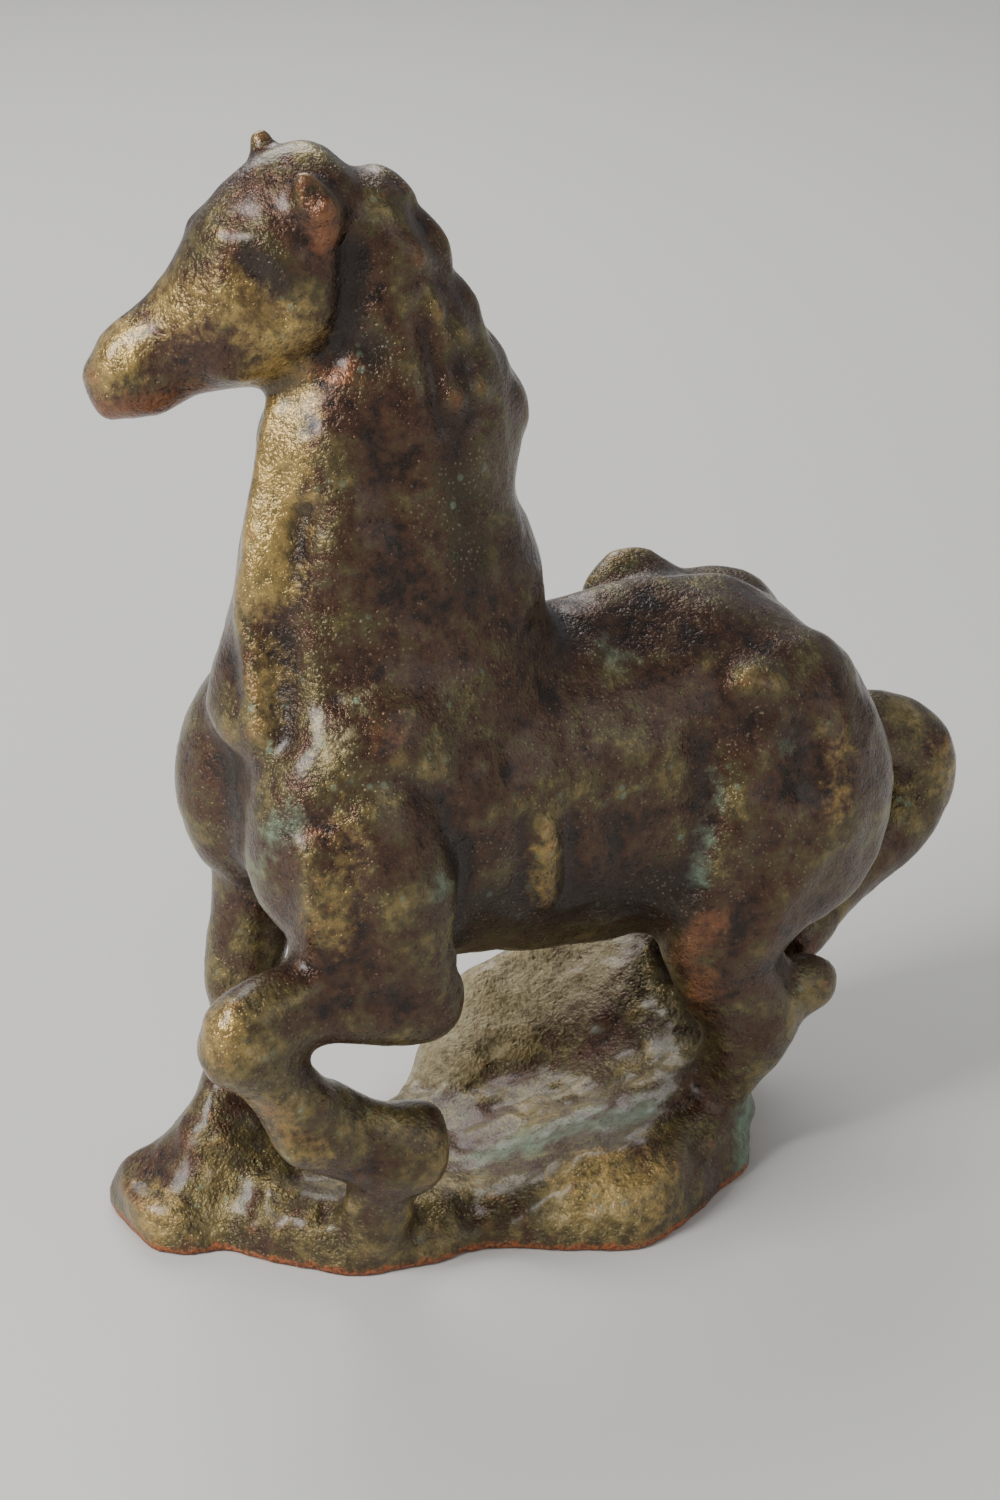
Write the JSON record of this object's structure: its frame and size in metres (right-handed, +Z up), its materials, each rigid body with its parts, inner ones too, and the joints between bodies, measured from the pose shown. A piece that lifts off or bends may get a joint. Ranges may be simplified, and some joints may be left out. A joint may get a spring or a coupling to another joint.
{
  "type": "horse statue",
  "caption": "Patinated bronze horse with one foreleg lifted, on a hollow rock base; castings pinned at the joints and bolted to the rock.",
  "frame": {"origin": "under the middle of the statue's bounding box, on the plane that the rock's rim rests on", "axes": "+Z up; the horse faces -X; its left flank, the side of the lifted foreleg, faces -Y"},
  "size_m": [0.19, 0.0906, 0.221],
  "materials": {
    "patinated_bronze": "cast bronze with a dark brown, olive-gold and green patina, waxed",
    "rock_bronze": "grainy cast bronze, brown and copper with verdigris in the hollows",
    "raw_bronze": "turned bronze rod, unpatinated where it is inside the joints",
    "zinc_steel": "zinc-plated steel fasteners"
  },
  "bodies": {
    "root": {"rock_base": "rock_bronze", "torso_casting": "patinated_bronze", "neck_casting": "patinated_bronze", "head_casting": "patinated_bronze", "left_ear": "patinated_bronze", "right_ear": "patinated_bronze", "mane_casting": "patinated_bronze", "left_foreleg": "patinated_bronze", "right_foreleg": "patinated_bronze", "left_hind_leg": "patinated_bronze", "right_hind_leg": "patinated_bronze", "tail_casting": "patinated_bronze", "core_plugs": "raw_bronze", "foreleg_pins": "raw_bronze", "hind_leg_pins": "raw_bronze", "tail_pin": "raw_bronze", "neck_pins": "raw_bronze", "head_pins": "raw_bronze", "hoof_pin": "raw_bronze", "foot_studs": "zinc_steel", "foot_washers": "zinc_steel", "foot_nuts": "zinc_steel"}
  },
  "joints": []
}
